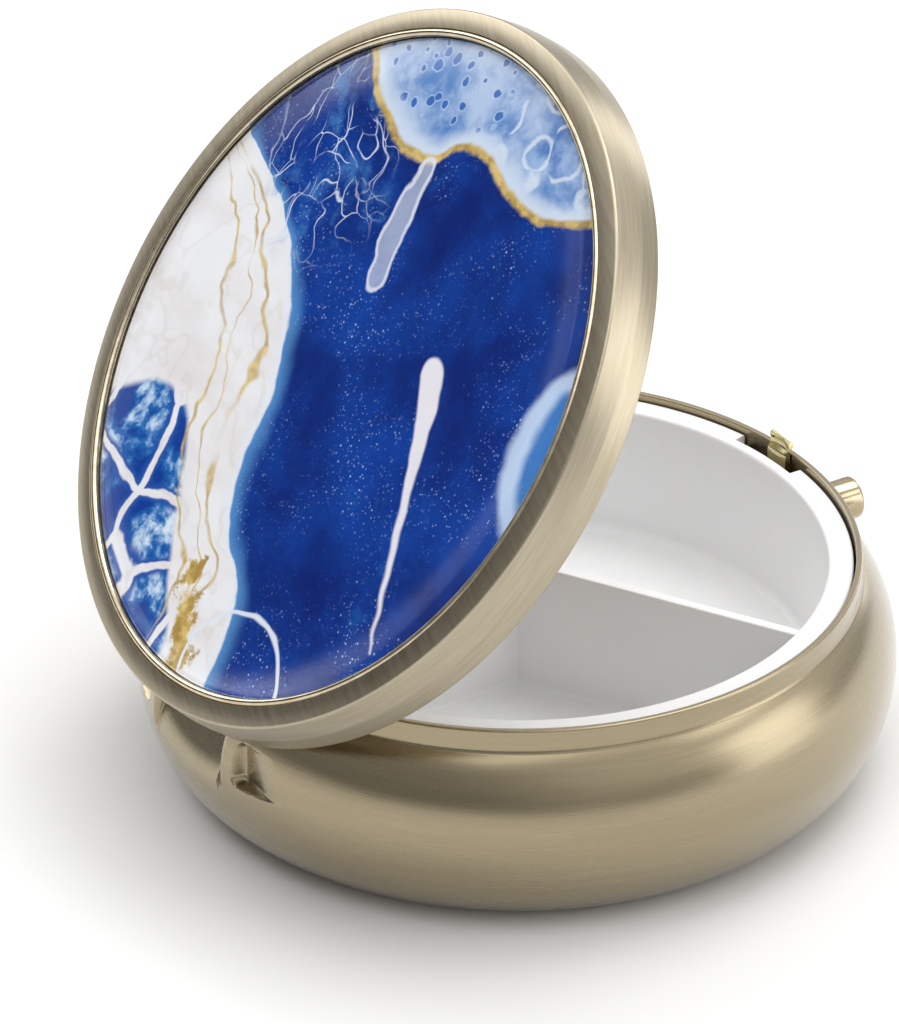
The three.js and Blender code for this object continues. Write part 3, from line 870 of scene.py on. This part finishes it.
def tray_plastic():
    """White moulded plastic with a faint orange peel and slow changes of gloss."""
    paint = new_paint("tray_plastic")
    peel = paint.noise(paint.point(), 2.2, 3.0, 0.55)
    slow = paint.noise(paint.point(), 0.15, 2.0)
    return paint.surface({
        "Base Color": paint.mix(slow, (0.80, 0.805, 0.81), (0.85, 0.85, 0.855)),
        "Roughness": paint.spread(slow, 0.30, 0.42), "Normal": paint.bump(peel, 0.06, 0.02),
        "Subsurface Weight": 0.15, "Subsurface Scale": 0.6 * MM,
    })


def clear_glass():
    """Clear glass that lets lamps light the print under it, with faint dust in its gloss."""
    paint = new_paint("clear_glass")
    dust = paint.noise(paint.point(), 1.4, 3.0, 0.6)
    body = paint.node("BsdfPrincipled", {
        "Base Color": (0.97, 0.985, 1.0), "Transmission Weight": 1.0, "IOR": 1.47,
        "Roughness": paint.spread(dust, 0.0, 0.03),
    })
    passing = paint.node("BsdfTransparent", {"Color": (0.97, 0.98, 0.99)})
    shadow = paint.node("LightPath").outputs["Is Shadow Ray"]
    both = paint.node("MixShader", {0: shadow, 1: body.outputs[0], 2: passing.outputs[0]})
    paint.tree.links.new(both.outputs[0], paint.node("OutputMaterial").inputs[0])
    return paint.owner


def card_adhesive():
    """Cloudy mounting film."""
    paint = new_paint("adhesive_film")
    mottle = paint.noise(paint.point(), 0.8, 4.0, 0.6)
    return paint.surface({
        "Base Color": paint.mix(mottle, (0.70, 0.67, 0.60), (0.82, 0.80, 0.74)),
        "Roughness": paint.spread(mottle, 0.5, 0.8), "Normal": paint.bump(mottle, 0.2, 0.02),
    })


def curve_line(paint, value, points):
    """A smooth curve through (0..1, 0..1) points, read at value."""
    made = paint.node("FloatCurve", {"Value": value})
    curve = made.mapping.curves[0]
    curve.points[0].location, curve.points[1].location = points[0], points[-1]
    for point in points[1:-1]:
        curve.points.new(*point)
    made.mapping.update()
    return made.outputs[0]


def drip(paint, x, y, start, end, width_start, width_end):
    """Signed distance to a streak whose half-width changes from one end to the other."""
    dx, dy = end[0] - start[0], end[1] - start[1]
    squared = dx * dx + dy * dy
    px, py = paint.minus(x, start[0]), paint.minus(y, start[1])
    along = paint.plus(paint.times(px, dx / squared), paint.times(py, dy / squared), clamp=True)
    away = paint.vector("LENGTH", paint.join(
        paint.minus(px, paint.times(along, dx)),
        paint.minus(py, paint.times(along, dy)), 0.0))
    return paint.minus(away, paint.spread(along, width_start, width_end))


def veins(paint, flat, shore, cream, gold, grain):
    """Gold veins that wander down the flow, and a patch of gold leaf at its foot."""
    for offset, width, turn in ((0.16, 0.017, 4.0), (0.33, 0.010, 9.0), (0.23, 0.007, 2.0)):
        sway = paint.noise(paint.vector("ADD", flat, (turn, turn, 0.0)), 2.4, 3.0, 0.55)
        sway = paint.times(paint.minus(sway, 0.5), 0.42)
        off_line = paint.minus(paint.minus(shore, offset), sway)
        vein = paint.minus(paint.size(off_line), paint.times(grain, width))
        fade = paint.step(paint.noise(flat, 4.0, 3.0), 0.3, 0.5)
        shown = paint.times(paint.step(vein, width * 0.8, -width * 0.3), fade)
        cream = paint.mix(paint.times(shown, 0.85), cream, gold)
    x, y, _ = paint.split(flat)
    leaf = drip(paint, x, y, (0.10, 0.72), (-0.05, 0.95), 0.03, 0.05)
    ragged = paint.times(paint.minus(grain, 0.5), 0.25)
    return paint.mix(paint.step(paint.plus(leaf, ragged), 0.01, -0.02), cream, gold)


def oval_cells(paint, spot, scale, size, base, fill, line):
    """Round cells with a fine pale edge, scattered over a base colour."""
    inputs = {"Vector": spot, "Scale": scale, "Randomness": 0.8}
    cells = paint.node("TexVoronoi", inputs, feature="F1")
    reach = paint.spread(paint.split(cells.outputs["Color"])[0], size * 0.45, size)
    past = paint.minus(cells.outputs["Distance"], reach)
    filled = paint.mix(paint.step(past, 0.02, -0.06), base, fill)
    edge = paint.step(paint.size(past), 0.07, 0.01)
    return paint.mix(paint.times(edge, 0.75), filled, line)


def blue_field(paint, flat, spot, drift):
    """Deep blue with darker and lighter drifts, turquoise mist and white specks."""
    blue = paint.mix(paint.step(drift, 0.32, 0.68), (0.002, 0.016, 0.165), (0.004, 0.058, 0.36))
    mist = paint.times(paint.step(paint.noise(flat, 6.5, 5.0, 0.65), 0.54, 0.8),
                       paint.step(paint.noise(flat, 1.5, 2.0), 0.48, 0.7))
    blue = paint.mix(paint.times(mist, 0.6), blue, (0.03, 0.21, 0.60))
    crowd = paint.step(paint.noise(flat, 3.0, 4.0, 0.6), 0.42, 0.66)
    for scale, chance in ((75.0, 0.70), (120.0, 0.62)):
        dots = paint.node("TexVoronoi", {"Vector": spot, "Scale": scale}, feature="F1")
        chosen = paint.step(paint.split(dots.outputs["Color"])[0], chance, 0.95)
        speck = paint.times(paint.step(dots.outputs["Distance"], 0.36, 0.10), chosen)
        shown = paint.times(paint.times(speck, crowd), 0.9)
        blue = paint.mix(shown, blue, (0.62, 0.78, 0.98))
    return blue


def cream_flow(paint, flat, flow, smooth):
    """Cream with faint folds, and a webbed blue lake in it near the hinge."""
    tone = paint.noise(paint.vector("MULTIPLY", flat, (2.0, 5.0, 1.0)), 1.0, 5.0, 0.6)
    cream = paint.mix(paint.step(tone, 0.3, 0.6), (0.86, 0.80, 0.78), (0.95, 0.93, 0.93))
    off_fold = paint.size(paint.minus(paint.noise(flat, 3.2, 3.0), 0.5))
    fold = paint.times(paint.step(off_fold, 0.02, 0.0), 0.18)
    cream = paint.mix(fold, cream, (0.62, 0.50, 0.40))
    web = paint.cells(paint.vector("ADD", flow, (0.21, 0.07, 0.0)), 3.1)
    x, y, _ = paint.split(smooth)
    lake = drip(paint, x, y, (0.62, 0.66), (0.16, 0.98), 0.27, 0.12)
    tone = paint.noise(flat, 5.0, 5.0, 0.65)
    blue = paint.mix(paint.step(tone, 0.4, 0.62), (0.004, 0.05, 0.32), (0.04, 0.30, 0.68))
    blue = paint.mix(paint.step(tone, 0.49, 0.62), blue, (0.78, 0.88, 0.96))
    blue = paint.mix(paint.step(web, 0.10, 0.04), blue, (0.02, 0.10, 0.42))
    inside = paint.times(paint.step(web, 0.024, 0.042), paint.step(lake, 0.01, -0.02))
    return paint.mix(inside, cream, blue)


def add_lace(paint, flat, wander, art):
    """Thin white threads and blue drifts near the cream's upper end."""
    zone = paint.step(paint.vector("DISTANCE", flat, (0.52, -0.47, 0.0)), 0.40, 0.2)
    haze = paint.times(paint.step(paint.noise(flat, 5.5, 5.0, 0.65), 0.5, 0.7), zone)
    art = paint.mix(paint.times(haze, 0.6), art, (0.10, 0.33, 0.70))
    curled = paint.vector("ADD", flat, paint.vector("SCALE", wander, 0.55))
    broken = paint.step(paint.noise(flat, 7.0, 3.0), 0.40, 0.55)
    for scale, width in ((3.2, 0.022), (6.5, 0.025)):
        thread = paint.step(paint.cells(curled, scale), width, 0.0)
        thread = paint.times(thread, broken)
        art = paint.mix(paint.times(thread, zone), art, (0.72, 0.80, 0.92))
    return art


def add_pale_bank(paint, x, far, spot, ripple, wash, art):
    """Pale blue with round cells on the far side; far is how deep a spot lies in it."""
    pale = paint.mix(paint.step(wash, 0.34, 0.62), (0.10, 0.26, 0.60), (0.53, 0.65, 0.85))
    fill = paint.mix(paint.step(wash, 0.35, 0.6), (0.06, 0.19, 0.54), (0.40, 0.56, 0.82))
    bent = paint.vector("ADD", spot, paint.vector("SCALE", ripple, 0.05))
    large = oval_cells(paint, bent, 6.5, 0.62, pale, fill, (0.84, 0.90, 0.96))
    small = oval_cells(paint, bent, 17.0, 0.36, pale, (0.05, 0.17, 0.52), (0.55, 0.68, 0.87))
    pale = paint.mix(paint.step(x, -0.12, 0.02), large, small)
    art = paint.mix(paint.step(far, -0.01, 0.02), art, pale)
    lip = paint.times(paint.step(far, 0.09, 0.02), paint.step(far, -0.005, 0.01))
    return paint.mix(lip, art, (0.72, 0.80, 0.92))


def add_drips(paint, flat, smooth, wash, art):
    """Streaks of white and pale blue that ran across the field, a loop and a pale bay."""
    x, y, _ = paint.split(flat)
    milk_tone = paint.noise(flat, 11.0, 4.0, 0.6)
    milk = paint.mix(milk_tone, (0.50, 0.60, 0.84), (0.88, 0.91, 0.96))
    first = drip(paint, x, y, (0.14, -0.62), (0.06, -0.26), 0.020, 0.042)
    uneven = paint.times(paint.minus(wash, 0.5), 0.02)
    first = paint.plus(first, uneven)
    art = paint.mix(paint.times(paint.step(first, 0.010, -0.012), 0.55), art, milk)
    edge = paint.step(paint.size(first), 0.010, 0.002)
    art = paint.mix(paint.times(edge, 0.8), art, (0.90, 0.92, 0.97))
    x, y, _ = paint.split(smooth)
    bend = (-0.56, 0.14)
    second = paint.math("MINIMUM", drip(paint, x, y, (-0.37, -0.16), bend, 0.055, 0.016),
                        drip(paint, x, y, bend, (-0.78, 0.56), 0.016, 0.002))
    art = paint.mix(paint.step(second, 0.008, -0.006), art, (0.93, 0.88, 0.90))
    from_middle = paint.vector("DISTANCE", paint.join(x, y, 0.0), (-0.30, 0.95, 0.0))
    off_loop = paint.size(paint.minus(from_middle, 0.24))
    art = paint.mix(paint.step(off_loop, 0.010, 0.003), art, (0.86, 0.88, 0.94))
    bay = paint.minus(paint.vector("DISTANCE", flat, (-1.12, -0.22, 0.0)), 0.28)
    inside = paint.times(paint.step(bay, 0.01, -0.02), 0.7)
    art = paint.mix(inside, art, (0.08, 0.30, 0.70))
    lip = paint.step(paint.size(bay), 0.05, 0.012)
    return paint.mix(paint.times(lip, 0.9), art, (0.62, 0.75, 0.93))


def poured_marble():
    """A poured-paint pattern: a blue field, a cream flow with gold veins, pale cells and drips.

    Places on the print run from -1 to 1. The far side is -Y and the hinge +Y.
    """
    paint = new_paint("poured_marble")
    spot = paint.vector("SCALE", paint.point(), 1 / PRINT_RADIUS)
    half = (0.5, 0.5, 0.5)
    wander = paint.vector("SUBTRACT", paint.noise(spot, 2.3, 3.0, 0.5, colour=True), half)
    ripple = paint.vector("SUBTRACT", paint.noise(spot, 9.0, 3.0, 0.6, colour=True), half)
    smooth = paint.vector("ADD", spot, paint.vector("SCALE", wander, 0.14))
    flow = paint.vector("ADD", smooth, paint.vector("SCALE", ripple, 0.025))
    x, y, _ = paint.split(flow)
    flat = paint.join(x, y, 0.0)
    drift = paint.noise(flat, 2.6, 5.0, 0.6)
    wash = paint.noise(flat, 4.5, 5.0, 0.65)
    grain = paint.noise(spot, 16.0, 4.0, 0.7)
    gold = paint.mix(paint.step(grain, 0.35, 0.65), (0.46, 0.29, 0.07), (0.84, 0.62, 0.22))
    blue = blue_field(paint, flat, spot, drift)
    # The cream lies to the +X side of a wandering line, with a blue wash and a white lip along it.
    line = curve_line(paint, paint.math("MULTIPLY_ADD", y, 0.5, 0.5), [
        (0.0, 1.0), (0.30, 0.985), (0.36, 0.84), (0.43, 0.71), (0.52, 0.635), (0.62, 0.585),
        (0.75, 0.545), (0.80, 0.49), (0.86, 0.415), (1.0, 0.39)])
    shore = paint.minus(x, paint.math("MULTIPLY_ADD", line, 2.0, -1.0))
    cream = veins(paint, flat, shore, cream_flow(paint, flat, flow, smooth), gold, grain)
    wet = paint.times(paint.step(shore, -0.10, 0.0), 0.75)
    art = paint.mix(wet, blue, (0.12, 0.36, 0.72))
    art = paint.mix(paint.step(shore, -0.008, 0.008), art, cream)
    off_lip = paint.size(paint.minus(shore, 0.012))
    lip = paint.times(paint.step(off_lip, 0.022, 0.004), 0.8)
    art = paint.mix(lip, art, (0.90, 0.91, 0.95))
    art = add_lace(paint, flat, wander, art)
    # The pale bank lies past a second wandering line, which carries a gold vein.
    bank = curve_line(paint, paint.math("MULTIPLY_ADD", x, 0.5, 0.5), [
        (0.0, 0.05), (0.22, 0.12), (0.32, 0.165), (0.41, 0.145), (0.5, 0.135), (0.6, 0.19),
        (0.72, 0.155), (0.82, 0.11), (1.0, 0.02)])
    far = paint.minus(paint.math("MULTIPLY_ADD", bank, 2.0, -1.0), y)
    art = add_pale_bank(paint, x, far, spot, ripple, wash, art)
    rim_vein = paint.minus(paint.size(far), paint.times(grain, 0.018))
    art = paint.mix(paint.step(rim_vein, 0.014, -0.004), art, gold)
    art = add_drips(paint, flat, smooth, wash, art)
    return paint.surface({
        "Base Color": art, "Roughness": paint.spread(drift, 0.35, 0.6),
        "Specular IOR Level": 0.03,
    })


# ---- Stage, light and camera ----

# Parts of the surroundings: azimuth, elevation, outer and inner reach in degrees, brightness.
# The bright one adds to the general glow, and the dark ones then dim it.
BRIGHT_PARTS = (
    (13, 31, 23, 8, 2.3),
)
DARK_PARTS = (
    (105, 6, 78, 24, 0.4),
    (50, 26, 25, 13, 0.42),
    (41, 14, 15, 9, 0.08),
)

# Lamps: name, azimuth, elevation, distance, width and height in metres, brightness.
LAMPS = (
    ("key", 229, 10, 0.30, 0.16, 0.19, 2.0),
    ("key_top", 231, 43, 0.5, 0.20, 0.10, 1.9),
    ("high_side", 286, 62, 0.6, 0.36, 0.28, 3.4),
    ("side", 294, 14, 0.6, 0.14, 0.28, 2.1),
    ("overhead", 100, 78, 0.6, 0.7, 0.6, 1.2),
)


def toward(azimuth, elevation):
    """The direction at an azimuth and elevation in degrees."""
    a, e = radians(azimuth), radians(elevation)
    return Vector((cos(a) * cos(e), sin(a) * cos(e), sin(e)))


def softbox(name, azimuth, elevation, distance, width, height, radiance):
    """A rectangular lamp aimed at the box; radiance is how bright its face is."""
    data = bpy.data.lights.new(name, "AREA")
    data.shape = "RECTANGLE"
    data.size = width
    data.size_y = height
    data.energy = radiance * pi * width * height
    lamp = add_object(name, data)
    direction = toward(azimuth, elevation)
    lamp.location = Vector((0, 0, 0.02)) + direction * distance
    lamp.rotation_mode = "QUATERNION"
    lamp.rotation_quaternion = (-direction).to_track_quat("-Z", "Y")


def studio_world():
    """Soft grey surroundings, lighter above, with a bright part and darker parts."""
    world = bpy.data.worlds.new("studio")
    bpy.context.scene.world = world
    paint = Paint(world)
    direction = paint.node("TexCoord").outputs["Generated"]
    up = paint.split(direction)[2]
    level = paint.spread(paint.step(up, 0.02, 0.4), 0.42, 0.9)
    for parts, operation, plain in ((BRIGHT_PARTS, "ADD", 0.0), (DARK_PARTS, "MULTIPLY", 1.0)):
        for azimuth, elevation, outer, inner, amount in parts:
            closeness = paint.vector("DOT_PRODUCT", direction, tuple(toward(azimuth, elevation)))
            edges = (cos(radians(outer)), cos(radians(inner)))
            lobe = paint.step(closeness, *edges)
            level = paint.math(operation, level, paint.spread(lobe, plain, amount))
    shade = paint.node("Background", {"Color": (1.0, 1.0, 1.0), "Strength": level})
    paint.tree.links.new(shade.outputs[0], paint.node("OutputWorld").inputs[0])


def white_floor():
    """A large pale floor, just below the box's foot."""
    half = FLOOR_HALF
    corners = [(-half, -half, 0), (half, -half, 0), (half, half, 0), (-half, half, 0)]
    floor = mesh_piece("floor", corners, [[0, 1, 2, 3]])
    paint = new_paint("floor_white")
    mottle = paint.noise(paint.point(), 0.004, 2.0)
    colour = paint.mix(mottle, (0.81, 0.81, 0.81), (0.83, 0.83, 0.83))
    floor.data.materials.append(paint.surface({"Base Color": colour, "Roughness": 0.9}))
    floor.location.z = -FLOOR_DROP * MM


def camera():
    """Looks down on the box from behind its left shoulder, from far off."""
    data = bpy.data.cameras.new("camera")
    data.sensor_width = 36
    data.lens = CAMERA_LENS
    data.clip_start = 0.01
    data.clip_end = 50
    view = add_object("camera", data)
    view.location = CAMERA_PLACE
    view.rotation_mode = "QUATERNION"
    view.rotation_quaternion = (-Vector(CAMERA_BACK)).to_track_quat("-Z", "Y")
    bpy.context.scene.camera = view


# ---- Assembly ----


def dress(piece, body, material, nodes):
    """Gives a piece its material and body, and hides the CAD nodes it stands for."""
    piece.data.materials.clear()
    piece.data.materials.append(material)
    if body == "lid":
        piece.matrix_world = open_matrix()
    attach(piece, body)
    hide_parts(*nodes)


base_plating = turned_metal(
    "base_plating", (0.345, 0.283, 0.172), (0.30, 0.243, 0.14), (0.22, 0.32), 0.06, 1.0)
plain_plating = turned_metal(
    "plain_plating", (0.44, 0.37, 0.26), (0.36, 0.30, 0.20), (0.28, 0.44), 0.12, 0.2)
bead_plating = polished_metal(
    "bead_plating", (0.72, 0.63, 0.47), (0.55, 0.46, 0.32), (0.12, 0.24))
button_plating = polished_metal(
    "button_plating", (0.50, 0.41, 0.28), (0.40, 0.32, 0.20), (0.10, 0.2))
brass = polished_metal(
    "spring_brass", (0.80, 0.74, 0.44), (0.62, 0.55, 0.28), (0.10, 0.2))
steel = polished_metal(
    "drawn_steel", (0.62, 0.61, 0.59), (0.45, 0.44, 0.42), (0.22, 0.38))
lid_plating = lid_metal()
white_plastic = tray_plastic()
glass = clear_glass()
marble = poured_marble()
film = card_adhesive()

dress(base_bowl(), "base", base_plating, ["base_shell"])
dress(foot_plate(), "base", base_plating, ["bottom_plate"])
dress(base_knuckles(), "base", plain_plating, ["base_hinge_leaf"])
dress(tray_moulding(), "base", white_plastic, ["pill_tray"])
dress(button_cap(), "button", button_plating, ["push_button"])
dress(hook_plate(), "latch", brass, ["latch_hook"])
dress(lid_cover(), "lid", lid_plating, ["lid_shell"])
dress(lid_barrel(), "lid", plain_plating, ["lid_hinge_leaf"])
dress(catch_tab(), "lid", brass, ["lid_catch"])
dress(glass_bead(), "lid", bead_plating, ["glass_ring"])
dress(lid_glass(), "lid", glass, ["glass_dome"])
dress(lid_print(), "lid", marble, ["printed_disc"])

# Hidden pieces keep their CAD meshes.
HIDDEN = {
    "hinge_pin": steel, "hinge_washer_left": steel, "hinge_washer_right": steel,
    "latch_rivet_1": steel, "latch_rivet_2": steel, "button_clip": steel,
    "button_guide": plain_plating, "latch_leaf": brass, "adhesive_disc": film,
}
for node, material in HIDDEN.items():
    carried = frame["nodes"][node]
    carried.data.materials.clear()
    carried.data.materials.append(material)

white_floor()
studio_world()
for lamp in LAMPS:
    softbox(*lamp)
camera()
bpy.context.scene.view_settings.view_transform = "Standard"
